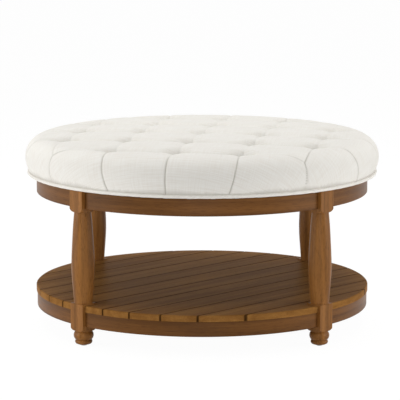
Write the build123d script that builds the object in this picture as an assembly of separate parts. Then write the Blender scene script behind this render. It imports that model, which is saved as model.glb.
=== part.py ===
from build123d import *
import os
from math import asin, atan2, cos, degrees, pi, radians, sin, sqrt

# Round storage ottoman: a tufted cushion on four turned legs, with a slatted shelf between them.
# Millimetres, +Z up. The origin is on the floor under the middle, and the front faces -Y.

# Overall places
leg_circle_radius = 368.0
leg_angles = {"front_left": 225, "front_right": 315, "back_left": 135, "back_right": 45}
rail_angles = {"front": 270, "right": 0, "back": 90, "left": 180}
rail_top = 350.0
fit_gap = 0.3
pilot_gap = 0.1
overrun = 5.0

# Legs, each turned from one length of wood
block_side = 41.0
upper_block_bottom = 310.5
upper_shoulder_height = 12.0
lower_block_top = 95.0
lower_block_bottom = 41.0
lower_shoulder_height = 7.0
block_edge_round = 1.2
block_top_bevel = 0.9
barrel_radius = 25.7
barrel_height_shares = (0, 0.17, 0.38, 0.64, 0.86, 1)
barrel_radius_shares = (0.8, 0.905, 1, 0.93, 0.825, 0.72)
foot_bottom = 2.6
foot_height = 31.4
foot_ring_radius = 22.1
foot_height_shares = (0, 0.05, 0.16, 0.33, 0.69, 0.94, 1)
foot_radius_shares = (0.6, 0.76, 0.866, 0.79, 1, 0.84, 0.84)

# Levelling glides, screwed into the feet
glide_radius = 7.0
glide_edge_round = 0.8
glide_gap = 0.2
stem_radius = 4.0
stem_length = 30.0
stem_seat = 1.8
running_gap = 0.05
insert_radius = 6.0
insert_length = 15.0
stem_well_depth = 44.0

# Apron under the cushion
apron_radius = 380.0
apron_thickness = 20.0
apron_height = 42.0
rail_edge_round = 1.5

# Shelf: boards laid on a ring of rails and on battens
shelf_radius = 383.0
shelf_top = 92.5
board_thickness = 14.0
board_pitch = 64.5
board_offset = -7.3
board_count = 12
board_gap = 1.5
board_bevel = 1.0
board_end_bevel = 1.8
board_angle = 45
shelf_rail_radius = 381.0
shelf_rail_thickness = 20.0
shelf_rail_height = 33.5
batten_width = 45.0
batten_thickness = 18.0
batten_spacing = 170.0
batten_names = ("left", "middle", "right")

# Corner braces and the fastenings of the frame
brace_thickness = 23.0
brace_half_width = 85.0
brace_height = 35.0
bolt_radius = 4.0
bolt_reach = 17.0
bolt_tail = 14.0
washer_radius = 9.0
washer_thickness = 1.6
nut_width = 13.0
nut_thickness = 6.5
dowel_radius = 4.0
dowel_length = 30.0
apron_dowel_spacing = 20.0
shelf_dowel_spacing = 13.0
dowel_circle_radius = 370.5
screw_radius = 2.0
screw_head_radius = 4.0
screw_head_height = 2.4
brace_screw_length = 46.0
brace_screw_offset = 62.0
brace_screw_spacing = 16.0
deck_screw_length = 46.0
deck_screw_offset = 29.0
board_screw_length = 26.0
rail_screw_length = 40.5
rail_screw_angles = (-22.5, 0, 22.5)

# Seat deck and dust cover
deck_radius = 391.4
deck_thickness = 15.0
dust_cover_radius = 357.0
dust_cover_thickness = 0.8

# Cushion: the cover's outside runs round three tangent arcs, from the seam to the crown
bulge_radius = 405.0
bulge_height = 389.5
crown_top = 443.0
crown_arc = 8300.0
seam_radius = 397.0
seam_height = 357.6
cover_thickness = 2.5
hem_thickness = 1.0
hem_inner_radius = 382.0
pleat_width = 1.6
pleat_depth = 1.2
pleat_start_radius = 352.0
pleat_angles = (0, 19.5, 45, 70.5)
welt_radius = 4.0
staple_count = 48
staple_width = 10.0
staple_leg = 7.0
staple_wire = 1.0
staple_circle_radius = 390.0

# Tufts, on a square lattice without its four corners, and the folds between them
tuft_pitch = 142.0
tuft_lattice_angle = -10.9
tuft_reach = 2
tuft_depth = 30.0
tuft_mouth_radius = 40.0
tuft_mouth_lift = 3.0
tuft_floor_radius = 10.0
fold_half_width = 56.0
fold_depth = 15.0
fold_lift = 3.0
button_radius = 9.0
button_height = 5.0
twine_radius = 1.5
knot_radius = 3.5
anchor_radius = 10.0
anchor_thickness = 1.2
anchor_recess_depth = 3.0

# Worked out from the sizes above
brace_top = rail_top - dust_cover_thickness
brace_face = leg_circle_radius - block_side / 2 - brace_thickness
deck_top = rail_top + deck_thickness
board_bottom = shelf_top - board_thickness
shelf_rail_bottom = board_bottom - shelf_rail_height
shelf_rail_inner = shelf_rail_radius - shelf_rail_thickness
apron_inner = apron_radius - apron_thickness
seam_drop = bulge_height - seam_height
seam_tuck = bulge_radius - seam_radius
side_arc = (seam_tuck**2 + seam_drop**2) / (2 * seam_tuck)
crown_rise = crown_top - bulge_height
shoulder_arc = (2 * crown_arc * crown_rise - crown_rise**2 - bulge_radius**2) / (2 * (crown_arc - bulge_radius))
crown_centre = crown_top - crown_arc
welt_height = seam_height - pilot_gap - welt_radius
cover_neck_radius = seam_radius - welt_radius - pilot_gap

written = []


def save(name, shape):
    """Write one named piece."""
    export_step(shape, f"parts/{name}.step")
    written.append(name)


def group(shapes):
    """Several separate solids of one kind as one node."""
    solids = []
    for shape in shapes:
        solids += shape.solids()
    return Compound(children=solids)


def turned(outline):
    """Revolve a closed outline, drawn as radius and height, about the vertical axis."""
    return revolve(Plane.XZ * make_face(outline), Axis.Z)


def rod(radius, length):
    """A rod that starts at the origin and runs along +X."""
    return Rot(0, 90, 0) * Cylinder(radius, length, align=(Align.CENTER, Align.CENTER, Align.MIN))


def post(radius, height, base=0):
    """An upright cylinder from a base height."""
    return Pos(0, 0, base) * Cylinder(radius, height, align=(Align.CENTER, Align.CENTER, Align.MIN))


def slab(length, width, low, high):
    """A box centred on the vertical axis between two heights."""
    return Pos(0, 0, low) * Box(length, width, high - low, align=(Align.CENTER, Align.CENTER, Align.MIN))


def wood_screw(length, gap=0):
    """A countersunk screw along +X with its flat head at the origin."""
    shank = rod(screw_radius + gap, length + gap)
    head = Rot(0, 90, 0) * Cone(
        screw_head_radius + gap, screw_radius + gap, screw_head_height,
        align=(Align.CENTER, Align.CENTER, Align.MIN),
    )
    return shank + head


# Legs
def leg_hole_rods(gap):
    """Dowels and bolt where they enter a leg, for a leg on the +X side."""
    pieces = [frame_dowel(side, height, gap) for side in (-1, 1) for height in dowel_heights()]
    pieces.append(Pos(leg_bolt_start(), 0, brace_middle()) * rod(bolt_radius + gap, bolt_length() + gap))
    return pieces


def dowel_heights():
    """Heights of the dowels in the apron and in the shelf ring."""
    apron_middle = rail_top - apron_height / 2
    shelf_middle = shelf_rail_bottom + shelf_rail_height / 2
    return (
        apron_middle - apron_dowel_spacing / 2,
        apron_middle + apron_dowel_spacing / 2,
        shelf_middle - shelf_dowel_spacing / 2,
        shelf_middle + shelf_dowel_spacing / 2,
    )


def frame_dowel(side, height, gap=0):
    """One dowel, half in the leg's block and half in the rail beside it."""
    middle = side * block_side / 2
    return Pos(dowel_circle_radius, middle, height) * Rot(90, 0, 0) * Cylinder(
        dowel_radius + gap, dowel_length + 2 * gap
    )


def brace_middle():
    """Height of the bolt through a brace."""
    return brace_top - brace_height / 2


def leg_bolt_start():
    """Where the bolt's threaded tail begins, inside the brace."""
    return brace_face - bolt_tail


def bolt_length():
    """Whole length of the bolt, from its tail to its tip in the leg."""
    return bolt_tail + brace_thickness + bolt_reach


def block_with_shoulder(low, high, shoulder_low, neck_radius):
    """A square block whose lower end is rounded in to a neck on the lathe."""
    corner = block_side / sqrt(2)
    outline = Polyline((0, shoulder_low), (neck_radius, shoulder_low)) + Line((corner, low), (corner, high))
    outline += Line((corner, high), (0, high)) + Line((0, high), (0, shoulder_low))
    curve_middle = (
        neck_radius + (corner - neck_radius) * sin(pi / 4),
        low - (low - shoulder_low) * cos(pi / 4),
    )
    outline += ThreePointArc((neck_radius, shoulder_low), curve_middle, (corner, low))
    square = slab(block_side, block_side, shoulder_low, high)
    square = fillet(square.edges().filter_by(Axis.Z), block_edge_round)
    return square & turned(outline)


def turned_barrel():
    """The swelling shaft between the two blocks."""
    low = lower_block_top
    height = upper_block_bottom - upper_shoulder_height - low
    points = [
        (barrel_radius * across, low + height * up)
        for up, across in zip(barrel_height_shares, barrel_radius_shares)
    ]
    outline = Spline(*points) + Polyline(points[-1], (0, points[-1][1]), (0, low), points[0])
    return turned(outline)


def turned_foot():
    """The foot: two rounded rings with a groove between them."""
    points = [
        (foot_ring_radius * across, foot_bottom + foot_height * up)
        for up, across in zip(foot_height_shares, foot_radius_shares)
    ]
    outline = Line(points[0], points[1]) + ThreePointArc(points[1], points[2], points[3])
    outline += ThreePointArc(points[3], points[4], points[5]) + Line(points[5], points[6])
    outline += Polyline(points[6], (0, points[6][1]), (0, foot_bottom), points[0])
    return turned(outline)


def build_leg():
    """One leg on the +X side, with the holes for its dowels, bolt and levelling insert."""
    upper = block_with_shoulder(
        upper_block_bottom, rail_top, upper_block_bottom - upper_shoulder_height,
        barrel_radius * barrel_radius_shares[-1],
    )
    lower = block_with_shoulder(
        lower_block_bottom, lower_block_top, lower_block_bottom - lower_shoulder_height,
        foot_ring_radius * foot_radius_shares[-1],
    )
    lower = chamfer(lower.faces().sort_by(Axis.Z)[-1].edges(), block_top_bevel)
    leg = upper + turned_barrel() + lower + turned_foot()
    leg -= post(insert_radius + pilot_gap, insert_length + pilot_gap, foot_bottom)
    leg -= post(stem_radius + fit_gap, stem_well_depth, foot_bottom)
    leg = Pos(leg_circle_radius, 0, 0) * leg
    for hole in leg_hole_rods(pilot_gap):
        leg -= hole
    return leg


def build_insert():
    """Threaded sleeve pressed into the foot."""
    sleeve = post(insert_radius, insert_length, foot_bottom)
    sleeve -= post(stem_radius + running_gap, insert_length, foot_bottom)
    return Pos(leg_circle_radius, 0, 0) * sleeve


def build_glide_pad():
    """Round glide under the foot, with a seat for the stem."""
    pad = post(glide_radius, foot_bottom - glide_gap)
    pad = fillet(pad.edges().filter_by(GeomType.CIRCLE), glide_edge_round)
    pad -= post(stem_radius + running_gap, foot_bottom, foot_bottom - glide_gap - stem_seat)
    return Pos(leg_circle_radius, 0, 0) * pad


def build_glide_stem():
    """Threaded stem of the glide, up through the insert."""
    return Pos(leg_circle_radius, 0, 0) * post(stem_radius, stem_length, foot_bottom - glide_gap - stem_seat)


# Curved rails of the apron and the shelf
def rail_between_legs(outer_radius, thickness, low, high, dowel_rods):
    """One curved rail on the +X side, cut square against the blocks at both ends."""
    section = Pos(outer_radius - thickness / 2, (low + high) / 2) * RectangleRounded(
        thickness, high - low, rail_edge_round
    )
    ring = revolve(Plane.XZ * section, Axis.Z)
    reach = outer_radius * 2
    quarter = extrude(make_face(Polyline((0, 0), (reach, -reach), (reach, reach), (0, 0))), high + overrun)
    rail = ring & quarter
    for corner in (-45, 45):
        cut = slab(reach * 2, block_side, low - overrun, high + overrun)
        rail -= Rot(0, 0, corner) * cut
        for piece in dowel_rods:
            rail -= Rot(0, 0, corner) * piece
    return rail


def build_apron_rail():
    """Apron rail with its dowel holes and the pilot holes of the brace screws."""
    rods = [frame_dowel(side, height, pilot_gap) for side in (-1, 1) for height in dowel_heights()[:2]]
    rods += brace_screws(pilot_gap)
    return rail_between_legs(apron_radius, apron_thickness, rail_top - apron_height, rail_top, rods)


def build_shelf_rail():
    """Shelf rail with its dowel holes and the holes of the screws that hold the boards."""
    rods = [frame_dowel(side, height, pilot_gap) for side in (-1, 1) for height in dowel_heights()[2:]]
    rail = rail_between_legs(shelf_rail_radius, shelf_rail_thickness, shelf_rail_bottom, board_bottom, rods)
    for screw in rail_screws(pilot_gap):
        rail -= screw
    return rail


def rail_screws(gap=0):
    """Screws up through the shelf rail on the +X side into the boards."""
    middle = shelf_rail_radius - shelf_rail_thickness / 2
    upright = Pos(middle, 0, shelf_rail_bottom) * Rot(0, -90, 0) * wood_screw(rail_screw_length, gap)
    return [Rot(0, 0, angle) * upright for angle in rail_screw_angles]


# Braces behind the legs
def build_brace():
    """Wooden brace behind a leg on the +X side, shaped to the inside of the apron."""
    inner = apron_inner - fit_gap
    width = brace_half_width * 2
    low = brace_top - brace_height
    brace = post(inner, brace_height, low) & Pos(brace_face + inner / 2, 0, 0) * slab(inner, width, low, brace_top)
    block_face = leg_circle_radius - block_side / 2
    brace -= Pos(block_face + inner / 2, 0, 0) * slab(inner, block_side + 2 * fit_gap, low - overrun, rail_top)
    brace -= Pos(leg_bolt_start(), 0, brace_middle()) * rod(bolt_radius + fit_gap, bolt_length())
    for screw in brace_screws(pilot_gap) + deck_screws(pilot_gap):
        brace -= screw
    return brace


def brace_screws(gap=0):
    """Screws through the brace on the +X side into the rails at its two ends."""
    screw = Pos(brace_face, 0, 0) * wood_screw(brace_screw_length, gap)
    heights = (brace_middle() - brace_screw_spacing / 2, brace_middle() + brace_screw_spacing / 2)
    return [Pos(0, side * brace_screw_offset, z) * screw for side in (-1, 1) for z in heights]


def deck_screws(gap=0):
    """Screws up through the brace on the +X side into the seat deck."""
    middle = brace_face + brace_thickness / 2
    screw = Pos(middle, 0, brace_top - brace_height) * Rot(0, -90, 0) * wood_screw(deck_screw_length, gap)
    return [Pos(0, side * deck_screw_offset, 0) * screw for side in (-1, 1)]


def build_bolt():
    """Bolt from the leg's block through the brace."""
    return Pos(leg_bolt_start(), 0, brace_middle()) * rod(bolt_radius, bolt_length())


def build_washer():
    """Washer between the brace and the nut."""
    ring = rod(washer_radius, washer_thickness) - rod(bolt_radius + running_gap, washer_thickness)
    return Pos(brace_face - washer_thickness, 0, brace_middle()) * ring


def build_nut():
    """Hexagonal nut on the bolt's tail."""
    hexagon = Rot(0, 90, 0) * extrude(RegularPolygon(nut_width / 2, 6, major_radius=False), nut_thickness)
    nut = hexagon - rod(bolt_radius + running_gap, nut_thickness)
    return Pos(brace_face - washer_thickness - nut_thickness, 0, brace_middle()) * nut


# Shelf boards and battens, laid out along X and then turned to the board angle
def board_joints():
    """Places of the joints between the boards, from one side of the shelf to the other."""
    half = board_count // 2
    return [board_offset + board_pitch * step for step in range(1 - half, half)]


def batten_places():
    """Places of the battens along the boards."""
    return [batten_spacing * step for step in (-1, 0, 1)]


def board_screws(gap=0):
    """Screws up through the battens, one for each board that a batten crosses."""
    low = board_bottom - batten_thickness
    upright = Pos(0, 0, low) * Rot(0, -90, 0) * wood_screw(board_screw_length, gap)
    joints = board_joints()
    middles = [(a + b) / 2 for a, b in zip(joints, joints[1:])]
    screws = []
    for along in batten_places():
        half_length = sqrt(shelf_rail_inner**2 - (abs(along) + batten_width / 2) ** 2)
        screws += [Pos(along, y, 0) * upright for y in middles if abs(y) < half_length - batten_thickness]
    return screws


def shelf_turn(shape):
    """Turn a shelf piece from the X axis to the line that the boards follow."""
    return Rot(0, 0, board_angle) * shape


def build_boards():
    """The boards, cut to a round shelf and notched round the legs."""
    disc = post(shelf_radius, board_thickness, board_bottom)
    disc = chamfer(disc.edges().filter_by(GeomType.CIRCLE).sort_by(Axis.Z)[-1], board_end_bevel)
    notch_start = leg_circle_radius - block_side / 2 - fit_gap
    for angle in (0, 90, 180, 270):
        notch = Pos(notch_start + shelf_radius / 2, 0, 0) * slab(
            shelf_radius, block_side + 2 * fit_gap, board_bottom - overrun, shelf_top + overrun
        )
        disc -= Rot(0, 0, angle) * notch
    holes = board_screws(pilot_gap)
    for angle in rail_angles.values():
        holes += [Rot(0, 0, angle - board_angle) * screw for screw in rail_screws(pilot_gap)]
    edge = shelf_radius + overrun
    lines = [-edge] + board_joints() + [edge]
    boards = []
    for low, high in zip(lines, lines[1:]):
        strip = slab(edge * 2, high - low - board_gap, board_bottom, shelf_top)
        strip = chamfer(strip.faces().sort_by(Axis.Z)[-1].edges().filter_by(Axis.X), board_bevel)
        board = disc & Pos(0, (low + high) / 2, 0) * strip
        for hole in holes:
            if low < hole.center().Y < high:
                board -= hole
        boards.append(shelf_turn(board))
    return boards


def build_battens():
    """Battens under the boards, across them, from rail to rail."""
    low = board_bottom - batten_thickness
    inside = post(shelf_rail_inner - fit_gap, batten_thickness, low)
    block_face = leg_circle_radius - block_side / 2 - fit_gap
    inside &= slab(shelf_radius * 2, block_face * 2, low, board_bottom)
    battens = []
    for along in batten_places():
        batten = inside & Pos(along, 0, 0) * slab(batten_width, shelf_radius * 2, low, board_bottom)
        for hole in board_screws(pilot_gap):
            if abs(hole.center().X - along) < batten_width:
                batten -= hole
        battens.append(shelf_turn(batten))
    return battens


# Cushion
def crown_height(radius):
    """Height of the cover's crown, before the tufts, at a distance from the middle."""
    return crown_centre + sqrt(crown_arc**2 - radius**2)


def plain_cushion(inset, floor):
    """The cushion without its tufts, drawn in by an inset, above a floor height."""
    side = side_arc - inset
    shoulder = shoulder_arc - inset
    crown = crown_arc - inset
    side_centre = bulge_radius - side_arc
    shoulder_centre = bulge_radius - shoulder_arc
    dip = degrees(asin((bulge_height - floor) / side))
    turn = degrees(atan2(bulge_height - crown_centre, shoulder_centre))
    outline = CenterArc((side_centre, bulge_height), side, -dip, dip)
    outline += CenterArc((shoulder_centre, bulge_height), shoulder, 0, turn)
    outline += CenterArc((0, crown_centre), crown, turn, 90 - turn)
    foot = side_centre + side * cos(radians(dip))
    outline += Polyline((0, crown_top - inset), (0, floor), (foot, floor))
    return turned(outline)


def tuft_places():
    """Places of the tufts on the lattice, without its corners."""
    steps = range(-tuft_reach, tuft_reach + 1)
    turn = radians(tuft_lattice_angle)
    places = []
    for i in steps:
        for j in steps:
            if abs(i) + abs(j) < 2 * tuft_reach:
                x, y = i * tuft_pitch, j * tuft_pitch
                places.append((x * cos(turn) - y * sin(turn), x * sin(turn) + y * cos(turn)))
    return places


def tuft_floor_height(place):
    """Height of the cover at the bottom of a tuft."""
    return crown_height(sqrt(place[0] ** 2 + place[1] ** 2)) - tuft_depth


def tuft_pit(place, inset):
    """The hollow of one tuft: its wall is rounded from the crown down to a small floor."""
    top = tuft_floor_height(place) + tuft_depth
    across = tuft_mouth_radius - tuft_floor_radius
    drop = tuft_depth + tuft_mouth_lift
    arc = (across**2 + drop**2) / (2 * drop)
    centre = (tuft_mouth_radius, top + tuft_mouth_lift - arc)
    low = top - tuft_depth - inset
    radius = arc - inset
    swing = degrees(asin((low - centre[1]) / radius))
    floor_radius = centre[0] - radius * cos(radians(swing))
    high = crown_top + overrun
    outline = CenterArc(centre, radius, 90, 90 - swing)
    outline += Polyline(
        (tuft_mouth_radius, centre[1] + radius), (tuft_mouth_radius, high), (0, high), (0, low), (floor_radius, low)
    )
    return Pos(place[0], place[1], 0) * turned(outline)


def fold(offset, inset):
    """One straight fold along Y: two rounded puffs meet in a valley at an offset in X."""
    drop = fold_depth + fold_lift
    arc = (fold_half_width**2 + drop**2) / (2 * drop)
    centre = crown_top + fold_lift - arc
    radius = arc - inset
    rise = degrees(atan2(sqrt(radius**2 - fold_half_width**2), fold_half_width))
    high = crown_top + overrun
    outline = CenterArc((-fold_half_width, centre), radius, rise, 90 - rise)
    outline += CenterArc((fold_half_width, centre), radius, 90, 90 - rise)
    outline += Polyline(
        (-fold_half_width, centre + radius), (-fold_half_width, high),
        (fold_half_width, high), (fold_half_width, centre + radius),
    )
    prism = extrude(Plane.XZ * make_face(outline), bulge_radius + overrun, both=True)
    return Pos(offset, 0, 0) * prism


def tufted_form(inset, floor):
    """The cushion with its folds and tufts, drawn in by an inset."""
    form = plain_cushion(inset, floor)
    steps = range(-tuft_reach, tuft_reach + 1)
    for turn in (0, 90):
        form -= [Rot(0, 0, tuft_lattice_angle + turn) * fold(step * tuft_pitch, inset) for step in steps]
    return form - [tuft_pit(place, inset) for place in tuft_places()]


def pleats():
    """Narrow slits where the folds run down the side of the cover."""
    skin = plain_cushion(0, seam_height) - plain_cushion(pleat_depth, seam_height)
    slits = []
    for quarter in (0, 90, 180, 270):
        for angle in pleat_angles:
            strip = Pos(pleat_start_radius + bulge_radius / 2, 0, 0) * slab(
                bulge_radius, pleat_width, seam_height, crown_top
            )
            slits.append(skin & Rot(0, 0, tuft_lattice_angle + quarter + angle) * strip)
    return slits


def build_cover():
    """The cover: a shell over the foam, drawn in under the welt and turned under the deck."""
    inner_floor = seam_height + cover_thickness
    cover = tufted_form(0, seam_height)
    for slit in pleats():
        cover -= slit
    cover -= tufted_form(cover_thickness, inner_floor)
    deck_space = deck_radius + fit_gap
    low = rail_top - hem_thickness
    cover += post(cover_neck_radius, seam_height - low, low)
    cover -= post(deck_space, inner_floor - rail_top, rail_top)
    cover -= post(hem_inner_radius, hem_thickness, low)
    for angle in leg_angles.values():
        room = slab(block_side + 2 * fit_gap, block_side + 2 * fit_gap, low - overrun, rail_top)
        cover -= Rot(0, 0, angle) * Pos(leg_circle_radius, 0, 0) * room
    for place in tuft_places():
        hole = post(twine_radius + pilot_gap, tuft_depth, tuft_floor_height(place) - tuft_depth / 2)
        cover -= Pos(place[0], place[1], 0) * hole
    return cover - group(build_staples(pilot_gap))


def build_foam():
    """Foam pad on the deck, with a hole for the twine under each tuft."""
    foam = tufted_form(cover_thickness + fit_gap, deck_top)
    for place in tuft_places():
        foam -= Pos(place[0], place[1], 0) * post(twine_radius + fit_gap, crown_top - deck_top, deck_top)
    return foam


def build_deck():
    """Round plywood deck under the foam."""
    deck = post(deck_radius, deck_thickness, rail_top)
    for place in tuft_places():
        spot = Pos(place[0], place[1], 0)
        deck -= spot * post(twine_radius + fit_gap, deck_thickness, rail_top)
        deck -= spot * post(anchor_radius + fit_gap, anchor_recess_depth, rail_top)
    for angle in leg_angles.values():
        for screw in deck_screws(pilot_gap):
            deck -= Rot(0, 0, angle) * screw
    return deck - group(build_staples(pilot_gap))


def build_dust_cover():
    """Thin cloth under the deck, notched round the leg blocks."""
    cloth = post(dust_cover_radius, dust_cover_thickness, brace_top)
    for angle in leg_angles.values():
        room = slab(block_side + 2 * fit_gap, block_side + 2 * fit_gap, brace_top - overrun, rail_top)
        cloth -= Rot(0, 0, angle) * Pos(leg_circle_radius, 0, 0) * room
        for screw in deck_screws(pilot_gap):
            cloth -= Rot(0, 0, angle) * screw
    return cloth


def build_staples(gap=0):
    """Staples that hold the turned-under hem to the deck."""
    leg_height = hem_thickness + staple_leg + gap
    low = rail_top - hem_thickness
    crown = slab(staple_wire + 2 * gap, staple_width + 2 * gap, low - staple_wire, low)
    wire = slab(staple_wire + 2 * gap, staple_wire + 2 * gap, low, low + leg_height)
    reach = (staple_width - staple_wire) / 2
    staple = crown + Pos(0, reach, 0) * wire + Pos(0, -reach, 0) * wire
    step = 360 / staple_count
    angles = [step * (number + 0.5) for number in range(staple_count)]
    staples = [Rot(0, 0, angle) * Pos(staple_circle_radius, 0, 0) * staple for angle in angles]
    return [piece for piece, angle in zip(staples, angles) if clear_of_legs(angle)]


def clear_of_legs(angle):
    """Whether a staple at this angle misses the leg blocks under the deck."""
    room = degrees(asin((block_side + staple_width) / 2 / staple_circle_radius))
    return all(abs(angle - leg) > room for leg in leg_angles.values())


def build_welt():
    """Round welt sewn along the cover's lower seam."""
    return revolve(Plane.XZ * Pos(seam_radius, welt_height) * Circle(welt_radius), Axis.Z)


def build_button(place):
    """Covered button at the bottom of a tuft, domed over a short straight rim."""
    low = tuft_floor_height(place)
    rim = low + button_height / 3
    rise = low + button_height - rim
    dome = (button_radius**2 + rise**2) / (2 * rise)
    turn = degrees(asin((dome - rise) / dome))
    outline = CenterArc((0, rim + rise - dome), dome, turn, 90 - turn)
    outline += Polyline((0, rim + rise), (0, low), (button_radius, low), (button_radius, rim))
    return Pos(place[0], place[1], 0) * turned(outline)


def build_twine(place):
    """Twine from a button down through the foam and deck, knotted under its washer."""
    knot_top = rail_top + anchor_recess_depth - anchor_thickness
    line = post(twine_radius, tuft_floor_height(place) - rail_top, rail_top)
    knot = post(knot_radius, knot_top - rail_top, rail_top)
    return Pos(place[0], place[1], 0) * (line + knot)


def build_anchor(place):
    """Washer in the deck that the twine is tied against."""
    low = rail_top + anchor_recess_depth - anchor_thickness
    ring = post(anchor_radius, anchor_thickness, low) - post(twine_radius + pilot_gap, anchor_thickness, low)
    return Pos(place[0], place[1], 0) * ring


def at_legs(shapes):
    """Copies of some pieces at each of the four legs."""
    return [Rot(0, 0, angle) * shape for angle in leg_angles.values() for shape in shapes]


def write_frame():
    """Legs, glides, rails, braces and their fastenings."""
    leg = build_leg()
    stem = build_glide_stem()
    pad = build_glide_pad()
    brace = build_brace()
    for corner, angle in leg_angles.items():
        turn = Rot(0, 0, angle)
        save(f"leg_{corner}", turn * leg)
        save(f"glide_stem_{corner}", turn * stem)
        save(f"glide_pad_{corner}", turn * pad)
        save(f"corner_brace_{corner}", turn * brace)
    apron_rail = build_apron_rail()
    shelf_rail = build_shelf_rail()
    for side, angle in rail_angles.items():
        save(f"apron_rail_{side}", Rot(0, 0, angle) * apron_rail)
        save(f"shelf_rail_{side}", Rot(0, 0, angle) * shelf_rail)
    dowels = [frame_dowel(side, height) for side in (-1, 1) for height in dowel_heights()]
    save("frame_dowels", group(at_legs(dowels)))
    save("glide_inserts", group(at_legs([build_insert()])))
    save("leg_bolts", group(at_legs([build_bolt()])))
    save("leg_bolt_washers", group(at_legs([build_washer()])))
    save("leg_bolt_nuts", group(at_legs([build_nut()])))
    save("brace_screws", group(at_legs(brace_screws())))
    save("deck_screws", group(at_legs(deck_screws())))


def write_shelf():
    """Boards, battens and their screws."""
    for number, board in enumerate(build_boards(), 1):
        save(f"shelf_board_{number:02d}", board)
    for name, batten in zip(batten_names, build_battens()):
        save(f"shelf_batten_{name}", batten)
    save("board_screws", group([shelf_turn(screw) for screw in board_screws()]))
    screws = [Rot(0, 0, angle) * screw for angle in rail_angles.values() for screw in rail_screws()]
    save("shelf_rail_screws", group(screws))


def write_seat():
    """Deck, foam, cover, welt and what ties the tufts."""
    save("seat_deck", build_deck())
    save("dust_cover", build_dust_cover())
    save("foam_pad", build_foam())
    save("tufted_cover", build_cover())
    save("welt_piping", build_welt())
    save("cover_staples", group(build_staples()))
    save("cover_buttons", group([build_button(place) for place in tuft_places()]))
    save("tufting_twine", group([build_twine(place) for place in tuft_places()]))
    save("twine_washers", group([build_anchor(place) for place in tuft_places()]))


os.makedirs("parts", exist_ok=True)
write_frame()
write_shelf()
write_seat()
print(len(written), "pieces written")
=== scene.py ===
from math import asin, atan2, ceil, cos, exp, hypot, pi, radians, sin, sqrt

import bmesh
import bpy
from mathutils import Matrix, Vector


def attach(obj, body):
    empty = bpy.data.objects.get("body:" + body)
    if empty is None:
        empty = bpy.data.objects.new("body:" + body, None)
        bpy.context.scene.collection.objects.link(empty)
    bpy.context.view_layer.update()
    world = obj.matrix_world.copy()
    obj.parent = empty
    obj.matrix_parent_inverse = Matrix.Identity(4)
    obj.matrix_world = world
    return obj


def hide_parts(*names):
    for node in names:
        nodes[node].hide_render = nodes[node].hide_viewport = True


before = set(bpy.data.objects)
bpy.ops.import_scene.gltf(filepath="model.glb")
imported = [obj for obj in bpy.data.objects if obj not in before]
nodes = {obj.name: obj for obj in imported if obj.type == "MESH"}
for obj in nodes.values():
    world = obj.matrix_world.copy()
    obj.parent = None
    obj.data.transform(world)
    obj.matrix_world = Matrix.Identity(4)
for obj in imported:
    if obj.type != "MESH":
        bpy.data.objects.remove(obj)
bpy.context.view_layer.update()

# Levelling glides: a pad of black nylon moulded on a zinc-plated M8 stem, which screws into a brass
# sleeve pressed in the foot. The pad is matt from its mould, the stem bright, the sleeve machined.
# Lengths, here and below, are in metres unless a name says otherwise.
CORNERS = ("front_left", "front_right", "back_left", "back_right")
NYLON_BLACK = "#1B1A19"
NYLON_ROUGHNESS = 0.5
GRIT_SIZE = 0.0004
GRIT_DEPTH = 0.00003
ZINC_GREY = "#C4C7C6"
ZINC_ROUGHNESS = 0.32
BRASS_YELLOW = "#C9A558"
BRASS_ROUGHNESS = 0.28
SMEAR_SIZE = 0.004
SMEAR_ROUGHNESS = 0.08


def linear(hex_colour):
    """An sRGB hex colour as linear red, green, blue and alpha."""
    channels = [int(hex_colour[start:start + 2], 16) / 255 for start in (1, 3, 5)]
    return [c / 12.92 if c <= 0.04045 else ((c + 0.055) / 1.055) ** 2.4 for c in channels] + [1.0]


def add_node(tree, kind, sockets=(), **settings):
    """Add a shader node, set it, and link or set its inputs."""
    node = tree.nodes.new(kind)
    for name, value in settings.items():
        setattr(node, name, value)
    for key, value in dict(sockets).items():
        if isinstance(value, bpy.types.NodeSocket):
            tree.links.new(value, node.inputs[key])
        else:
            node.inputs[key].default_value = value
    return node


def empty_material(name):
    """A new material that has no nodes yet."""
    material = bpy.data.materials.new(name)
    material.use_nodes = True
    material.node_tree.nodes.clear()
    return material, material.node_tree


def start_material(name, **sockets):
    """A new material with one principled shader, whose sockets are set by name."""
    material, tree = empty_material(name)
    named = {key.replace("_", " "): value for key, value in sockets.items()}
    shader = add_node(tree, "ShaderNodeBsdfPrincipled", named)
    add_node(tree, "ShaderNodeOutputMaterial", {"Surface": shader.outputs["BSDF"]})
    return material, tree, shader


def dress(name, material):
    """Give a carried-over piece its finish."""
    slots = nodes[name].data.materials
    slots.clear()
    slots.append(material)


def moulded_nylon():
    """Nylon, injection moulded: near black, and matt from the fine grit of its mould. The grit is drawn
    0.4 mm across, coarser than a real mould's, so that it shows."""
    material, tree, shader = start_material(
        "moulded_nylon", Base_Color=linear(NYLON_BLACK), Roughness=NYLON_ROUGHNESS
    )
    place = add_node(tree, "ShaderNodeTexCoord")
    grit = add_node(
        tree, "ShaderNodeTexNoise", {"Vector": place.outputs["Object"], "Scale": 1 / GRIT_SIZE, "Detail": 1.0}
    )
    bump = add_node(tree, "ShaderNodeBump", {"Height": grit.outputs["Fac"], "Distance": GRIT_DEPTH})
    tree.links.new(bump.outputs["Normal"], shader.inputs["Normal"])
    return material


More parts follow.
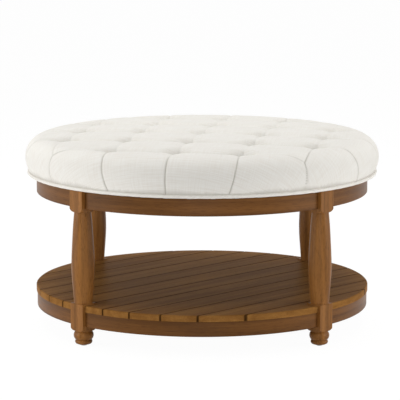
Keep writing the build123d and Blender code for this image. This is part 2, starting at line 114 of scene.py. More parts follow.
def machined_metal(name, colour, roughness):
    """Turned or plated metal: bright, with its roughness a little uneven in patches of a few mm."""
    material, tree, shader = start_material(name, Base_Color=linear(colour), Metallic=1.0)
    place = add_node(tree, "ShaderNodeTexCoord")
    smear = add_node(
        tree, "ShaderNodeTexNoise",
        {"Vector": place.outputs["Object"], "Scale": 1 / SMEAR_SIZE, "Detail": 2.0},
    )
    rough = add_node(
        tree, "ShaderNodeMapRange",
        {
            "Value": smear.outputs["Fac"],
            "To Min": roughness - SMEAR_ROUGHNESS, "To Max": roughness + SMEAR_ROUGHNESS,
        },
    )
    tree.links.new(rough.outputs["Result"], shader.inputs["Roughness"])
    return material


zinc_plate = machined_metal("zinc_plated_steel", ZINC_GREY, ZINC_ROUGHNESS)
turned_brass = machined_metal("turned_brass", BRASS_YELLOW, BRASS_ROUGHNESS)
black_nylon = moulded_nylon()
for corner in CORNERS:
    dress(f"glide_pad_{corner}", black_nylon)
    dress(f"glide_stem_{corner}", zinc_plate)
dress("glide_inserts", turned_brass)

# Legs: each is turned from one length of rubberwood, left square where the rails join, then stained
# brown and sprayed with satin lacquer. The grain runs up the leg.
LEG_LIGHT = "#A26D36"
LEG_DARK = "#774C20"
PORE_DARK = "#381E08"
# Colour of the painted shade in the shelf boards' joints.
JOINT_SHADE_DARK = "#241204"
FIGURE_LENGTH = 0.5
FIGURE_WIDTH = 0.016
FIGURE_RANGE = (0.3, 0.7)
STREAK_LENGTH = 0.12
STREAK_WIDTH = 0.0022
STREAK_SHARE = 0.9
PORE_LENGTH = 0.018
PORE_WIDTH = 0.0011
PORE_RANGE = (0.3, 0.42)
PORE_SHARE = 0.45
GRAIN_BEND = 0.4
LACQUER_ROUGHNESS = 0.38
LACQUER_UNEVEN = (-0.07, 0.09)
LACQUER_GLOSS = 0.15
LACQUER_DEPTH = 0.00008
LACQUER_RELIEF = 0.6


def stained_wood(name, grain, light, dark, roughness=LACQUER_ROUGHNESS, gloss=LACQUER_GLOSS):
    """Rubberwood, stained and lacquered: streaks along the grain, short dark pores, a satin film. The
    streaks and pores are drawn a few times as wide as real ones, so that they show. The grain gives
    the way along the wood, its tone, and how much painted shade lies on a spot beside a joint."""
    material, tree, shader = start_material(name, Specular_IOR_Level=gloss)
    along, shade, joint_shade = grain(tree)

    def drawn_out(length, width, detail):
        """Noise drawn out along the grain."""
        stretch = add_node(
            tree, "ShaderNodeVectorMath",
            {0: along, 1: (1 / length, 1 / width, 1 / width)}, operation="MULTIPLY",
        )
        noise = add_node(
            tree, "ShaderNodeTexNoise",
            {"Vector": stretch.outputs["Vector"], "Scale": 1.0, "Detail": detail, "Distortion": GRAIN_BEND},
        )
        return noise.outputs["Fac"]

    figure = drawn_out(FIGURE_LENGTH, FIGURE_WIDTH, detail=3.0)
    streaks = drawn_out(STREAK_LENGTH, STREAK_WIDTH, detail=3.0)
    pores = drawn_out(PORE_LENGTH, PORE_WIDTH, detail=1.0)
    blend = add_node(
        tree, "ShaderNodeMapRange",
        {"Value": figure, "From Min": FIGURE_RANGE[0], "From Max": FIGURE_RANGE[1]},
    )
    fleck = add_node(tree, "ShaderNodeMath", {0: streaks, 1: 0.5}, operation="SUBTRACT")
    flecked = add_node(
        tree, "ShaderNodeMath",
        {0: fleck.outputs["Value"], 1: STREAK_SHARE, 2: blend.outputs["Result"]}, operation="MULTIPLY_ADD",
    )
    mixed = add_node(
        tree, "ShaderNodeMath", {0: flecked.outputs["Value"], 1: shade}, operation="ADD", use_clamp=True
    )
    stain = add_node(
        tree, "ShaderNodeMix",
        {"Factor": mixed.outputs["Value"], "A": linear(dark), "B": linear(light)}, data_type="RGBA",
    )
    pit = add_node(
        tree, "ShaderNodeMapRange",
        {
            "Value": pores, "From Min": PORE_RANGE[0], "From Max": PORE_RANGE[1],
            "To Min": PORE_SHARE, "To Max": 0.0,
        },
    )
    pitted = add_node(
        tree, "ShaderNodeMix",
        {"Factor": pit.outputs["Result"], "A": stain.outputs["Result"], "B": linear(PORE_DARK)},
        data_type="RGBA",
    )
    # Painted shade in the joints between boards.
    joint_shaded = add_node(
        tree, "ShaderNodeMix",
        {"Factor": joint_shade, "A": pitted.outputs["Result"], "B": linear(JOINT_SHADE_DARK)}, data_type="RGBA",
    )
    least, most = LACQUER_UNEVEN
    rough = add_node(
        tree, "ShaderNodeMapRange",
        {"Value": streaks, "To Min": roughness + least, "To Max": roughness + most},
    )
    bump = add_node(
        tree, "ShaderNodeBump", {"Height": streaks, "Distance": LACQUER_DEPTH, "Strength": LACQUER_RELIEF}
    )
    tree.links.new(joint_shaded.outputs["Result"], shader.inputs["Base Color"])
    tree.links.new(rough.outputs["Result"], shader.inputs["Roughness"])
    tree.links.new(bump.outputs["Normal"], shader.inputs["Normal"])
    return material


def upright_grain(tree):
    """Grain that runs up the piece, with one tone all over and no painted joint shade."""
    place = add_node(tree, "ShaderNodeTexCoord")
    split = add_node(tree, "ShaderNodeSeparateXYZ", {"Vector": place.outputs["Object"]})
    turned = add_node(
        tree, "ShaderNodeCombineXYZ",
        {"X": split.outputs["Z"], "Y": split.outputs["X"], "Z": split.outputs["Y"]},
    )
    return turned.outputs["Vector"], 0.0, 0.0


leg_wood = stained_wood("stained_rubberwood_turned", upright_grain, LEG_LIGHT, LEG_DARK)
for corner in CORNERS:
    dress(f"leg_{corner}", leg_wood)

# Rails: four curved rails for the apron and four for the shelf, bent from strips and glued, so their
# grain follows the curve. The stain and lacquer are the legs', given darker here as painted shade for
# the shadow the rails stand in under the cushion.
SIDES = ("front", "right", "back", "left")
# A darker copy of the legs' stain colours: painted shade.
SHADED_RAIL_LIGHT = "#7C5024"
SHADED_RAIL_DARK = "#5B3814"
RAIL_RADIUS = 0.38
LEG_ANGLE = radians(45)


def turned_axes(tree, heading):
    """The place on a piece, as a vector and as X, Y and Z, with X turned to a heading in plan."""
    place = add_node(tree, "ShaderNodeTexCoord")
    spun = add_node(
        tree, "ShaderNodeVectorRotate",
        {"Vector": place.outputs["Object"], "Angle": -heading}, rotation_type="Z_AXIS",
    )
    split = add_node(tree, "ShaderNodeSeparateXYZ", {"Vector": spun.outputs["Vector"]})
    return spun.outputs["Vector"], split.outputs


def curved_grain(tree):
    """Grain that runs round the ring, with one tone all over and no painted joint shade. The angle starts
    again at the front left leg, where rails end."""
    spot, axes = turned_axes(tree, LEG_ANGLE)
    angle = add_node(tree, "ShaderNodeMath", {0: axes["Y"], 1: axes["X"]}, operation="ARCTAN2")
    arc = add_node(tree, "ShaderNodeMath", {0: angle.outputs["Value"], 1: RAIL_RADIUS}, operation="MULTIPLY")
    flat = add_node(tree, "ShaderNodeCombineXYZ", {"X": axes["X"], "Y": axes["Y"]})
    away = add_node(tree, "ShaderNodeVectorMath", {0: flat.outputs["Vector"]}, operation="LENGTH")
    wrapped = add_node(
        tree, "ShaderNodeCombineXYZ", {"X": arc.outputs["Value"], "Y": axes["Z"], "Z": away.outputs["Value"]}
    )
    return wrapped.outputs["Vector"], 0.0, 0.0


shaded_rail_wood = stained_wood("stained_rubberwood_bent_shaded", curved_grain, SHADED_RAIL_LIGHT, SHADED_RAIL_DARK)
for side in SIDES:
    dress(f"apron_rail_{side}", shaded_rail_wood)
    dress(f"shelf_rail_{side}", shaded_rail_wood)

# Shelf boards: twelve rubberwood boards that run side by side from front left to back right, cut round,
# with a bevel along every joint. Each board is its own piece of wood, so the tone steps at a joint, and
# the bevels are darkened with painted shade.
BOARD_COUNT = 12
BOARD_PITCH = 0.0645
BOARD_OFFSET = -0.0073
BOARD_ANGLE = radians(45)
BOARD_LIGHT = "#A3733C"
BOARD_DARK = "#875C2E"
BOARD_SHADE = 0.22
BOARD_SHIFT = 3.0
BOARD_ROUGHNESS = 0.42
BOARD_GLOSS = 0.006
JOINT_REACH = 0.0014
JOINT_SHADE_REACH = 0.0027
JOINT_SHADE_STRENGTH = 0.75


def board_grain(tree):
    """Grain along the boards, shifted and toned from board to board. Painted shade darkens the joints,
    where shade falls in the bevels: it is full up to one reach from a joint's middle line and gone at the
    other."""
    spot, axes = turned_axes(tree, BOARD_ANGLE)
    across = add_node(tree, "ShaderNodeMath", {0: axes["Y"], 1: BOARD_OFFSET}, operation="SUBTRACT")
    count = add_node(tree, "ShaderNodeMath", {0: across.outputs["Value"], 1: BOARD_PITCH}, operation="DIVIDE")
    board = add_node(tree, "ShaderNodeMath", {0: count.outputs["Value"]}, operation="FLOOR")
    draw = add_node(tree, "ShaderNodeTexWhiteNoise", {"W": board.outputs["Value"]}, noise_dimensions="1D")
    shift = add_node(
        tree, "ShaderNodeVectorMath", {0: draw.outputs["Color"], 1: [BOARD_SHIFT] * 3}, operation="MULTIPLY"
    )
    moved = add_node(tree, "ShaderNodeVectorMath", {0: spot, 1: shift.outputs["Vector"]}, operation="ADD")
    shade = add_node(
        tree, "ShaderNodeMapRange",
        {"Value": draw.outputs["Value"], "To Min": -BOARD_SHADE, "To Max": BOARD_SHADE},
    )
    in_board = add_node(tree, "ShaderNodeMath", {0: count.outputs["Value"]}, operation="FRACT")
    off_middle = add_node(
        tree, "ShaderNodeMath", {0: in_board.outputs["Value"], 1: 0.5}, operation="SUBTRACT"
    )
    to_edge = add_node(tree, "ShaderNodeMath", {0: off_middle.outputs["Value"]}, operation="ABSOLUTE")
    joint_shade_mask = add_node(
        tree, "ShaderNodeMapRange",
        {
            "Value": to_edge.outputs["Value"], "From Min": 0.5 - JOINT_SHADE_REACH / BOARD_PITCH,
            "From Max": 0.5 - JOINT_REACH / BOARD_PITCH, "To Min": 0.0, "To Max": JOINT_SHADE_STRENGTH,
        },
    )
    return moved.outputs["Vector"], shade.outputs["Result"], joint_shade_mask.outputs["Result"]


board_wood = stained_wood(
    "stained_rubberwood_boards", board_grain, BOARD_LIGHT, BOARD_DARK,
    roughness=BOARD_ROUGHNESS, gloss=BOARD_GLOSS,
)
for number in range(1, BOARD_COUNT + 1):
    dress(f"shelf_board_{number:02d}", board_wood)

# Hidden wood: battens, corner braces and dowels are the same timber left raw and sawn, and the seat
# deck is birch plywood. They show only from below.
RAW_LIGHT = "#C9A576"
RAW_DARK = "#A98456"
PLY_LIGHT = "#D2B084"
PLY_DARK = "#B8925F"
RAW_ROUGHNESS = 0.7


def raw_wood(name, light, dark):
    """Timber without a finish: dry, pale and dull."""
    return stained_wood(name, upright_grain, light, dark, roughness=RAW_ROUGHNESS)


raw_timber = raw_wood("sawn_rubberwood", RAW_LIGHT, RAW_DARK)
plywood = raw_wood("birch_plywood", PLY_LIGHT, PLY_DARK)
for name in ("shelf_batten_left", "shelf_batten_middle", "shelf_batten_right", "frame_dowels"):
    dress(name, raw_timber)
for corner in CORNERS:
    dress(f"corner_brace_{corner}", raw_timber)
dress("seat_deck", plywood)

# Fastenings: bolts with washers and nuts draw each leg to its corner brace, countersunk screws hold
# the braces, deck, boards and shelf rails, washers take the pull of the twine, and staples hold the
# cover's hem. All are zinc-plated steel, bright and a little uneven, like the glides' stems.
for name in (
    "leg_bolts", "leg_bolt_washers", "leg_bolt_nuts", "brace_screws", "deck_screws", "board_screws",
    "shelf_rail_screws", "twine_washers", "cover_staples",
):
    dress(name, zinc_plate)

# Cover: one round of linen-look cloth, pulled over the foam, pinched down at twenty-one tufts and
# folded between them on a square lattice. The folds run on over the shoulder as pleats to the seam,
# and the cloth is turned in behind the welt and stapled under the deck.
CROWN_TOP = 0.443
CROWN_ARC = 8.3
BULGE_RADIUS = 0.405
BULGE_HEIGHT = 0.3895
SEAM_RADIUS = 0.397
SEAM_HEIGHT = 0.3572
TUFT_PITCH = 0.142
TUFT_REACH = 2
TUFT_DEPTH = 0.031
TUFT_WIDTH = 0.044
TUFT_ROUNDNESS = 0.6
LATTICE_ANGLE = radians(-10.9)
BUTTON_SEAT = 0.0095

# Radius and height at each turn of the hem: in behind the welt, down, in under the deck, and up.
HEM = ((0.3927, 0.3560), (0.3925, 0.3492), (0.3825, 0.3490), (0.3820, 0.3502), (0.3800, 0.3570))

# Cross folds run from left to right and away folds from front to back. The tails say how soon the dip
# of a tuft runs out along the fold: the higher the power, the sooner.
CROSS_FOLD = 0.0105
CROSS_WIDTH = 0.052
CROSS_TAILS = (1.1, 3.6)
AWAY_FOLD = 0.0025
AWAY_WIDTH = 0.030
AWAY_TAILS = (3.2, 3.2)
WEAK_FOLD = 0.45
WEAKENING_SHARE = 0.5
FOLD_SHARPNESS = 0.25
TUFT_SHARPNESS = 0.35
CORNER_SHARPNESS = 0.3
PUFF_POWER = 2.2
CREASE_POWER = 8
PLEAT_DEPTH = 0.0020
PLEAT_WIDTH = 0.0042
PLEAT_SPREAD = 0.115
PLEAT_START = 0.035
PLEAT_SHARE = 0.42
GATHER_RADIUS = 0.024
GATHER_WIDTH = 0.010
GATHER_DEPTH = 0.0009
GATHERS = 7
# Painted shade: the cloth's colour is darkened along the fold and pleat lines on the side, in the tufts'
# wells and in a thin band above the seam, where shade falls.
SHADE_LINE_WIDTH = 0.0016
WELL_SHADE = 0.95
WELL_SHADE_START = 0.35
SEAM_SHADE_WIDTH = 0.0045
CELLS = 40
CROWDING = 0.66

# The cushion's section is a flat crown, a round shoulder and a side that tucks in to the seam, each an
# arc that runs smoothly into the next.
side_tuck = BULGE_RADIUS - SEAM_RADIUS
side_drop = BULGE_HEIGHT - SEAM_HEIGHT
side_arc = (side_tuck**2 + side_drop**2) / (2 * side_tuck)
crown_rise = CROWN_TOP - BULGE_HEIGHT
crown_reach_squared = 2 * CROWN_ARC * crown_rise - crown_rise**2
shoulder_arc = (crown_reach_squared - BULGE_RADIUS**2) / (2 * (CROWN_ARC - BULGE_RADIUS))
crown_centre = CROWN_TOP - CROWN_ARC
shoulder_centre = BULGE_RADIUS - shoulder_arc
crown_turn = atan2(shoulder_centre, BULGE_HEIGHT - crown_centre)
crown_run = CROWN_ARC * crown_turn
shoulder_run = shoulder_arc * (pi / 2 - crown_turn)
side_run = side_arc * asin(side_drop / side_arc)
cloth_radius = crown_run + shoulder_run + side_run


def cover_profile(run):
    """Radius, height and slope of the stuffed cover at a distance along the cloth from its middle."""
    if run < crown_run:
        turn = run / CROWN_ARC
        return CROWN_ARC * sin(turn), crown_centre + CROWN_ARC * cos(turn), turn
    if run < crown_run + shoulder_run:
        turn = crown_turn + (run - crown_run) / shoulder_arc
        return shoulder_centre + shoulder_arc * sin(turn), BULGE_HEIGHT + shoulder_arc * cos(turn), turn
    turn = pi / 2 + (run - crown_run - shoulder_run) / side_arc
    return BULGE_RADIUS - side_arc + side_arc * sin(turn), BULGE_HEIGHT + side_arc * cos(turn), turn


def ease(value, low, high):
    """0 below low, 1 above high, and an even ease between them."""
    share = min(max((value - low) / (high - low), 0.0), 1.0)
    return share * share * (3 - 2 * share)


def fold_line(across, along, tails, turn):
    """Distance from the nearest fold along one way of the lattice, how near to a tuft that spot is, and
    how strong the fold is. The tails are the powers that a tuft's dip runs out by, before and past it.
    Past the last tufts only the fold that goes round the corner clockwise, which turn tells, is full."""
    before, beyond = tails
    step = max(-TUFT_REACH, min(TUFT_REACH, round(across / TUFT_PITCH)))
    distance = abs(across - step * TUFT_PITCH)
    last = TUFT_REACH - (abs(step) == TUFT_REACH)
    knot = max(-last, min(last, round(along / TUFT_PITCH)))
    past = (along - knot * TUFT_PITCH) / (0.5 * TUFT_PITCH)
    nearness = max(0.0, 1 - abs(past)) ** (beyond if past > 0 else before)
    strength = 1.0
    if abs(step) == TUFT_REACH:
        outside = abs(along) / TUFT_PITCH - 1
        if outside > 0 and step * along * turn > 0:
            strength = 1 - (1 - WEAK_FOLD) * min(1.0, outside / WEAKENING_SHARE)
        distance = hypot(distance, max(0.0, abs(along) - TUFT_REACH * TUFT_PITCH))
    return distance, nearness, strength


def corner_line(u, v):
    """Distance from the pleat below a corner of the lattice, where two outer folds meet."""
    edge = TUFT_REACH * TUFT_PITCH
    if abs(u) + abs(v) < 2 * edge:
        return hypot(abs(u) - edge, abs(v) - edge)
    return abs(abs(u) - abs(v)) / sqrt(2)


def valley(distance, depth, width, sharpness):
    """Depth of the cloth beside a fold: two rounded puffs that meet, more or less sharply."""
    share = max(0.0, 1 - distance / width)
    return depth * ((1 - sharpness) * share**PUFF_POWER + sharpness * share**CREASE_POWER)


def tuft_near(u, v):
    """Distance from the nearest tuft, the way to it, and a number of its own."""
    i = max(-TUFT_REACH, min(TUFT_REACH, round(u / TUFT_PITCH)))
    j = max(-TUFT_REACH, min(TUFT_REACH, round(v / TUFT_PITCH)))
    if abs(i) + abs(j) == 2 * TUFT_REACH:
        return TUFT_PITCH, 0.0, 0
    right, back = u - i * TUFT_PITCH, v - j * TUFT_PITCH
    return hypot(right, back), atan2(back, right), (2 * TUFT_REACH + 1) * i + j


def cover_drop(u, v):
    """Depth of the cloth below the plain crown, from folds, pleats, tufts and small gathers, and how
    much painted shade the spot gets along a pleat line, in a tuft's well or by the seam."""
    side = ease(hypot(u, v), crown_run - PLEAT_START, crown_run + PLEAT_SHARE * shoulder_run)
    drop, painted_shade = 0.0, 0.0
    ways = (
        (v, u, CROSS_FOLD, CROSS_WIDTH, CROSS_TAILS, -1),
        (u, v, AWAY_FOLD, AWAY_WIDTH, AWAY_TAILS, 1),
    )
    for across, along, middle, width, tails, turn in ways:
        distance, nearness, strength = fold_line(across, along, tails, turn)
        depth = middle + (TUFT_DEPTH - middle) * nearness
        depth = strength * (depth * (1 - side) + PLEAT_DEPTH * side)
        sharpness = FOLD_SHARPNESS + TUFT_SHARPNESS * nearness
        drop = max(drop, valley(distance, depth, width * (1 - side) + PLEAT_WIDTH * side, sharpness))
        # Painted shade along the middle line of each fold, used on the side only.
        painted_shade = max(painted_shade, strength * exp(-((distance / SHADE_LINE_WIDTH) ** 2)))
    depth = CROSS_FOLD * (1 - side) + PLEAT_DEPTH * side
    width = CROSS_WIDTH * (1 - side) + PLEAT_WIDTH * side
    distance = corner_line(u, v)
    drop = max(drop, valley(distance, depth, width, CORNER_SHARPNESS))
    painted_shade = max(painted_shade, exp(-((distance / SHADE_LINE_WIDTH) ** 2)))
    away, way, seed = tuft_near(u, v)
    if away < TUFT_WIDTH:
        share = 1 - ease(away, BUTTON_SEAT, TUFT_WIDTH) ** TUFT_ROUNDNESS
        drop += (TUFT_DEPTH - drop) * share
    # Painted shade: darker the deeper the spot lies in a tuft's well, and in a thin band just inside the
    # seam.
    well_shade = WELL_SHADE * ease(drop, WELL_SHADE_START * TUFT_DEPTH, TUFT_DEPTH)
    gather = exp(-(((away - GATHER_RADIUS) / GATHER_WIDTH) ** 2))
    seam_shade = ease(hypot(u, v), cloth_radius - SEAM_SHADE_WIDTH, cloth_radius)
    return drop + GATHER_DEPTH * gather * sin(GATHERS * way + seed), max(painted_shade * side, well_shade, seam_shade)


def cover_point(u, v):
    """Place of a point of the flat cloth on the tufted cushion. Past the last tufts the folds fan out."""
    edge = TUFT_REACH * TUFT_PITCH
    fan = PLEAT_SPREAD / (cloth_radius - edge)
    flat = Vector((u * (1 + fan * max(0.0, abs(v) - edge)), v * (1 + fan * max(0.0, abs(u) - edge))))
    radius, height, turn = cover_profile(hypot(u, v))
    drop = cover_drop(u, v)[0]
    radius -= drop * sin(turn)
    height -= drop * cos(turn)
    way = atan2(flat.y, flat.x) + LATTICE_ANGLE
    return Vector((radius * cos(way), radius * sin(way), height))


def crowd(flat):
    """Move a net line so that the lines stand closer together at the folds, where the cloth bends most."""
    turn = 2 * pi * flat / TUFT_PITCH
    return flat - CROWDING * TUFT_PITCH * sin(turn) / (2 * pi)


def lay_cover():
    """The cover as a square net of cloth, cut round, laid on the cushion and turned in under the deck."""
    step = TUFT_PITCH / CELLS
    half = ceil(cloth_radius / step) + 1
    net = bmesh.new()
    bmesh.ops.create_grid(net, x_segments=2 * half, y_segments=2 * half, size=half * step)
    for vert in net.verts:
        vert.co.x, vert.co.y = crowd(vert.co.x), crowd(vert.co.y)
    outside = [v for v in net.verts if hypot(v.co.x, v.co.y) > cloth_radius]
    bmesh.ops.delete(net, geom=outside, context="VERTS")
    spurs = [v for v in net.verts if len(v.link_faces) == 1]
    bmesh.ops.delete(net, geom=spurs, context="VERTS")
    threads = net.loops.layers.uv.new("threads")
    painted_shade_layer = net.verts.layers.float.new("painted_shade")
    for vert in net.verts:
        if vert.is_boundary:
            vert.co *= cloth_radius / vert.co.length
    for face in net.faces:
        for loop in face.loops:
            loop[threads].uv = loop.vert.co.xy
    for vert in net.verts:
        u, v = vert.co.x, vert.co.y
        # Each point keeps how much painted shade its colour gets.
        vert[painted_shade_layer] = cover_drop(u, v)[1]
        vert.co = cover_point(u, v)
    rim = [e for e in net.edges if e.is_boundary]
    for edge in rim:
        edge.smooth = False
    for radius, height in HEM:
        turned = bmesh.ops.extrude_edge_only(net, edges=rim)["geom"]
        rim = [e for e in turned if isinstance(e, bmesh.types.BMEdge) and e.is_boundary]
        for vert in {v for e in rim for v in e.verts}:
            scale = radius / hypot(vert.co.x, vert.co.y)
            vert.co = (vert.co.x * scale, vert.co.y * scale, height)
    lid = bmesh.ops.contextual_create(net, geom=rim)["faces"]
    bmesh.ops.poke(net, faces=lid)
    bmesh.ops.recalc_face_normals(net, faces=net.faces)
    return net


def finish_mesh(name, shape, material):
    """Turn a bmesh into a named object with its finish."""
    mesh = bpy.data.meshes.new(name)
    shape.to_mesh(mesh)
    shape.free()
    mesh.materials.append(material)
    mesh.polygons.foreach_set("use_smooth", [True] * len(mesh.polygons))
    piece = bpy.data.objects.new(name, mesh)
    bpy.context.scene.collection.objects.link(piece)
    return piece


LINEN_LIGHT = "#F2F0EA"
LINEN_DARK = "#E8E3DA"
LINEN_ROUGHNESS = 0.85
NAP_SHARE = 0.12
NAP_ROUGHNESS = 0.5
THREAD_PITCH = 0.0024
THREAD_DEPTH = 0.00025
THREAD_RELIEF = 0.5
SLUB_LENGTH = 0.06
SLUB_DETAIL = 1.5
WEFT_SHARE = 1.6
WEAVE_SHARE = 0.22
TONE_RANGE = (0.75, 1.65)
# How strong the painted shade in folds, wells and by the seam is, and its grey-brown colour.
CREASE_SHADE = 0.42
CREASE_SHADE_COLOUR = "#8D8474"


def woven_linen(name, light, dark):
    """Linen-look polyester in plain weave: off-white, dull, with slubs along both threads.
    Its threads lie under 1 mm apart and are drawn three times as wide, so that they show."""
    material, tree, shader = start_material(
        name, Roughness=LINEN_ROUGHNESS, Sheen_Weight=NAP_SHARE, Sheen_Roughness=NAP_ROUGHNESS
    )
    threads = add_node(tree, "ShaderNodeUVMap", uv_map="threads")
    split = add_node(tree, "ShaderNodeSeparateXYZ", {"Vector": threads.outputs["UV"]})
    waves, slubs = [], []
    for way in (0, 1):
        ridge = add_node(
            tree, "ShaderNodeMath",
            {0: split.outputs["XY"[way]], 1: 2 * pi / THREAD_PITCH}, operation="MULTIPLY",
        )
        wave = add_node(tree, "ShaderNodeMath", {0: ridge.outputs["Value"]}, operation="SINE")
        waves.append(wave.outputs["Value"])
        scale = [1 / SLUB_LENGTH, 1 / SLUB_LENGTH, 1.0]
        scale[way] = 1 / THREAD_PITCH
        stretch = add_node(
            tree, "ShaderNodeVectorMath", {0: threads.outputs["UV"], 1: scale}, operation="MULTIPLY"
        )
        slub = {"Vector": stretch.outputs["Vector"], "Scale": 1.0, "Detail": SLUB_DETAIL}
        slubs.append(add_node(tree, "ShaderNodeTexNoise", slub).outputs["Fac"])
    over = add_node(tree, "ShaderNodeMath", {0: waves[0], 1: waves[1]}, operation="MULTIPLY")
    streaks = add_node(
        tree, "ShaderNodeMath", {0: slubs[1], 1: WEFT_SHARE, 2: slubs[0]}, operation="MULTIPLY_ADD"
    )
    relief = add_node(
        tree, "ShaderNodeMath",
        {0: over.outputs["Value"], 1: WEAVE_SHARE, 2: streaks.outputs["Value"]}, operation="MULTIPLY_ADD",
    )
    tone = add_node(
        tree, "ShaderNodeMapRange",
        {"Value": relief.outputs["Value"], "From Min": TONE_RANGE[0], "From Max": TONE_RANGE[1]},
    )
    colour = add_node(
        tree, "ShaderNodeMix",
        {"Factor": tone.outputs["Result"], "A": linear(dark), "B": linear(light)}, data_type="RGBA",
    )
    # Painted shade: the colour is mixed towards a grey brown as far as each point's stored painted shade
    # says.
    painted_shade = add_node(tree, "ShaderNodeAttribute", attribute_name="painted_shade")
    depth = add_node(
        tree, "ShaderNodeMath", {0: painted_shade.outputs["Fac"], 1: CREASE_SHADE}, operation="MULTIPLY"
    )
    with_painted_shade = add_node(
        tree, "ShaderNodeMix",
        {"Factor": depth.outputs["Value"], "A": colour.outputs["Result"], "B": linear(CREASE_SHADE_COLOUR)},
        data_type="RGBA",
    )
    bump = add_node(
        tree, "ShaderNodeBump",
        {"Height": relief.outputs["Value"], "Distance": THREAD_DEPTH, "Strength": THREAD_RELIEF},
    )
    tree.links.new(with_painted_shade.outputs["Result"], shader.inputs["Base Color"])
    tree.links.new(bump.outputs["Normal"], shader.inputs["Normal"])
    return material


linen = woven_linen("woven_linen", LINEN_LIGHT, LINEN_DARK)
cover = finish_mesh("tufted_linen_cover", lay_cover(), linen)
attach(cover, "ottoman")
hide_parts("tufted_cover", "foam_pad")

# Welt: a cord wrapped in a bias strip of the cover's cloth and sewn into the lower seam all round.
# The strip is pulled tight, so the cord shows through as a slightly uneven round.
WELT_LIGHT = "#F6F3EC"
WELT_DARK = "#EDE8DF"
WELT_RADIUS = 0.0040
WELT_HEIGHT = 0.3535
WELT_STEPS = 360
WELT_SIDES = 20
SWELL_DEPTH = 0.00012
SWELLS = ((61, 0), (97, 1))

cord_ring = bmesh.new()
bmesh.ops.create_circle(
    cord_ring, cap_ends=False, segments=WELT_SIDES, radius=WELT_RADIUS,
    matrix=Matrix.Translation((SEAM_RADIUS, 0, WELT_HEIGHT)) @ Matrix.Rotation(pi / 2, 4, "X"),
)
bmesh.ops.spin(
    cord_ring, geom=list(cord_ring.edges), cent=(0, 0, 0), axis=(0, 0, 1), angle=2 * pi,
    steps=WELT_STEPS, use_merge=True,
)
bias = cord_ring.loops.layers.uv.new("threads")
for face in cord_ring.faces:
    middle = face.calc_center_median()
    start = atan2(middle.y, middle.x)
    for loop in face.loops:
        spot = loop.vert.co
        turn = start + (atan2(spot.y, spot.x) - start + pi) % (2 * pi) - pi
        wrap = atan2(spot.z - WELT_HEIGHT, hypot(spot.x, spot.y) - SEAM_RADIUS)
        wrap_start = atan2(middle.z - WELT_HEIGHT, hypot(middle.x, middle.y) - SEAM_RADIUS)
        wrap = wrap_start + (wrap - wrap_start + pi) % (2 * pi) - pi
        along, around = turn * SEAM_RADIUS, wrap * WELT_RADIUS
        loop[bias].uv = ((along + around) / sqrt(2), (along - around) / sqrt(2))
for vert in cord_ring.verts:
    turn = atan2(vert.co.y, vert.co.x)
    swell = SWELL_DEPTH * sum(sin(count * turn + start) for count, start in SWELLS)
    centre = Vector((SEAM_RADIUS * cos(turn), SEAM_RADIUS * sin(turn), WELT_HEIGHT))
    vert.co += (vert.co - centre).normalized() * swell
bmesh.ops.recalc_face_normals(cord_ring, faces=cord_ring.faces)
welt_cloth = woven_linen("bias_linen", WELT_LIGHT, WELT_DARK)
welt = finish_mesh("welt_cord", cord_ring, welt_cloth)
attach(welt, "ottoman")
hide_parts("welt_piping")

# Buttons: a round of the cover's cloth crimped over a domed shell, one at the bottom of each of the
# twenty-one tufts. The cloth is the same, so a button hardly stands out in its well.
BUTTON_RADIUS = 0.009
BUTTON_HEIGHT = 0.005
BUTTON_BACK_SHARE = 0.3
BUTTON_STEPS = 32
BUTTON_RINGS = 16


def tuft_spots():
    """Places of the tufts on the flat cloth: every crossing of the lattice but its four corners."""
    steps = range(-TUFT_REACH, TUFT_REACH + 1)
    crossings = [(i, j) for i in steps for j in steps if abs(i) + abs(j) < 2 * TUFT_REACH]
    return [(i * TUFT_PITCH, j * TUFT_PITCH) for i, j in crossings]


shells = bmesh.new()
button_threads = shells.loops.layers.uv.new("threads")
for u, v in tuft_spots():
    shell = bmesh.ops.create_uvsphere(shells, u_segments=BUTTON_STEPS, v_segments=BUTTON_RINGS, radius=1.0)
    well_bottom = cover_point(u, v)
    for vert in shell["verts"]:
        lift = vert.co.z if vert.co.z > 0 else BUTTON_BACK_SHARE * vert.co.z
        flat = Vector((vert.co.x, vert.co.y)) * BUTTON_RADIUS
        vert.co = well_bottom + Vector((flat.x, flat.y, BUTTON_HEIGHT * lift))
        for loop in vert.link_loops:
            loop[button_threads].uv = (u + flat.x, v + flat.y)
buttons = finish_mesh("linen_buttons", shells, linen)
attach(buttons, "ottoman")
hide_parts("cover_buttons")

# Tufting twine and dust cover: waxed linen twine holds each button down to a washer under the deck,
# and a round of black non-woven cambric closes the underside.
TWINE_LIGHT = "#DBD1B6"
TWINE_DARK = "#BFB393"
TWINE_ROUGHNESS = 0.7
STRAND_PITCH = 0.0015
CAMBRIC_LIGHT = "#232323"
CAMBRIC_DARK = "#0E0E0E"
CAMBRIC_ROUGHNESS = 0.9
FELT_SIZE = 0.0006


def fibrous(name, light, dark, size, roughness):
    """Matt fibres, twisted or felted, with a little shade and relief from strand to strand. They are
    drawn coarser than real ones, so that they show."""
    material, tree, shader = start_material(name, Roughness=roughness)
    place = add_node(tree, "ShaderNodeTexCoord")
    strands = add_node(
        tree, "ShaderNodeTexNoise", {"Vector": place.outputs["Object"], "Scale": 1 / size, "Detail": 2.0}
    )
    shade = add_node(
        tree, "ShaderNodeMix",
        {"Factor": strands.outputs["Fac"], "A": linear(dark), "B": linear(light)}, data_type="RGBA",
    )
    bump = add_node(tree, "ShaderNodeBump", {"Height": strands.outputs["Fac"], "Distance": size / 4})
    tree.links.new(shade.outputs["Result"], shader.inputs["Base Color"])
    tree.links.new(bump.outputs["Normal"], shader.inputs["Normal"])
    return material


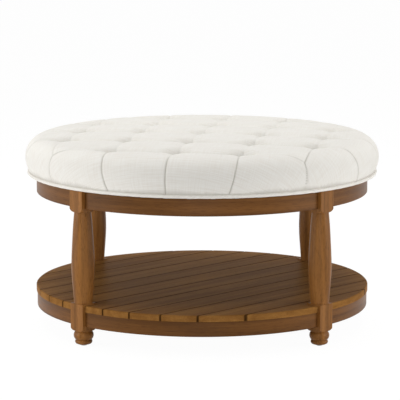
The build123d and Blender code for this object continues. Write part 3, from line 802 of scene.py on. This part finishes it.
dress("tufting_twine", fibrous("waxed_twine", TWINE_LIGHT, TWINE_DARK, STRAND_PITCH, TWINE_ROUGHNESS))
dress("dust_cover", fibrous("felted_cambric", CAMBRIC_LIGHT, CAMBRIC_DARK, FELT_SIZE, CAMBRIC_ROUGHNESS))

# Studio: a white floor that runs off to a white background, four big soft lamps round the ottoman, and
# a camera with a long lens, placed so that the outlines fit the photograph's.
WHITE = "#FFFFFF"
FLOOR_COLOUR = "#F2F2F2"
FLOOR_SIZE = 60.0
FLOOR_GLOW = 0.92
FLOOR_LEVEL = 1.05
SKY_LEVEL = 0.28
LAMP_AIM = (0, 0, 0.3)

# Each lamp's name and place, the width of its soft box, and its power in watts.
LAMPS = (
    ("lamp_top", (-0.1, 0.5, 2.8), 2.2, 41),
    ("lamp_left", (-2.7, -0.8, 0.8), 1.6, 33),
    ("lamp_right", (2.8, -0.8, 0.8), 1.6, 31),
    ("lamp_front", (0.0, -3.6, 0.45), 1.4, 17),
)
PHOTO_WIDTH_PX = 400
FRAME_SHIFT_PX = -2.04
CAMERA_DISTANCE = 4.961
CAMERA_HEIGHT = 1.0948
CAMERA_PITCH = radians(9.305)
CAMERA_HEADING = radians(0.27)
CAMERA_LENS_MM = 196.06
CAMERA_SENSOR_MM = 36.0


def seen_rays(tree):
    """1 for the rays that the camera, a reflection or a clear piece sends out, 0 for light."""
    rays = add_node(tree, "ShaderNodeLightPath").outputs
    direct = add_node(
        tree, "ShaderNodeMath", {0: rays["Is Camera Ray"], 1: rays["Is Glossy Ray"]}, operation="MAXIMUM"
    )
    through = add_node(
        tree, "ShaderNodeMath",
        {0: direct.outputs["Value"], 1: rays["Is Transmission Ray"]}, operation="MAXIMUM",
    )
    return through.outputs["Value"]


def pale_floor():
    """A white floor: the camera sees it nearly white, with a trace of the shadow."""
    material, tree = empty_material("studio_floor")
    lit = add_node(tree, "ShaderNodeBsdfDiffuse", {"Color": linear(FLOOR_COLOUR)})
    glow = add_node(tree, "ShaderNodeEmission", {"Color": linear(WHITE), "Strength": FLOOR_LEVEL})
    share = add_node(tree, "ShaderNodeMath", {0: seen_rays(tree), 1: FLOOR_GLOW}, operation="MULTIPLY")
    both = add_node(
        tree, "ShaderNodeMixShader",
        {0: share.outputs["Value"], 1: lit.outputs["BSDF"], 2: glow.outputs["Emission"]},
    )
    add_node(tree, "ShaderNodeOutputMaterial", {"Surface": both.outputs["Shader"]})
    return material


ground = bmesh.new()
bmesh.ops.create_grid(ground, x_segments=1, y_segments=1, size=FLOOR_SIZE / 2)
finish_mesh("studio_floor", ground, pale_floor())

world = bpy.data.worlds.new("studio")
bpy.context.scene.world = world
world.use_nodes = True
sky = world.node_tree
sky.nodes.clear()
sky_level = add_node(sky, "ShaderNodeMapRange", {"Value": seen_rays(sky), "To Min": SKY_LEVEL, "To Max": 1.0})
sky_light = add_node(
    sky, "ShaderNodeBackground", {"Color": linear(WHITE), "Strength": sky_level.outputs["Result"]}
)
add_node(sky, "ShaderNodeOutputWorld", {"Surface": sky_light.outputs["Background"]})


def soft_lamp(name, place, size, power):
    """A square soft box aimed at the ottoman."""
    lamp = bpy.data.lights.new(name, "AREA")
    lamp.shape = "SQUARE"
    lamp.size = size
    lamp.energy = power
    holder = bpy.data.objects.new(name, lamp)
    holder.location = place
    holder.rotation_mode = "QUATERNION"
    holder.rotation_quaternion = (Vector(LAMP_AIM) - Vector(place)).to_track_quat("-Z", "Y")
    bpy.context.scene.collection.objects.link(holder)


for name, place, size, power in LAMPS:
    soft_lamp(name, place, size, power)

lens = bpy.data.cameras.new("camera")
lens.lens = CAMERA_LENS_MM
lens.sensor_width = CAMERA_SENSOR_MM
lens.shift_x = FRAME_SHIFT_PX / PHOTO_WIDTH_PX
camera = bpy.data.objects.new("camera", lens)
camera.location = (
    CAMERA_DISTANCE * sin(CAMERA_HEADING), -CAMERA_DISTANCE * cos(CAMERA_HEADING), CAMERA_HEIGHT
)
camera.rotation_euler = (pi / 2 - CAMERA_PITCH, 0, CAMERA_HEADING)
bpy.context.scene.collection.objects.link(camera)
bpy.context.scene.camera = camera
bpy.context.scene.view_settings.view_transform = "Standard"
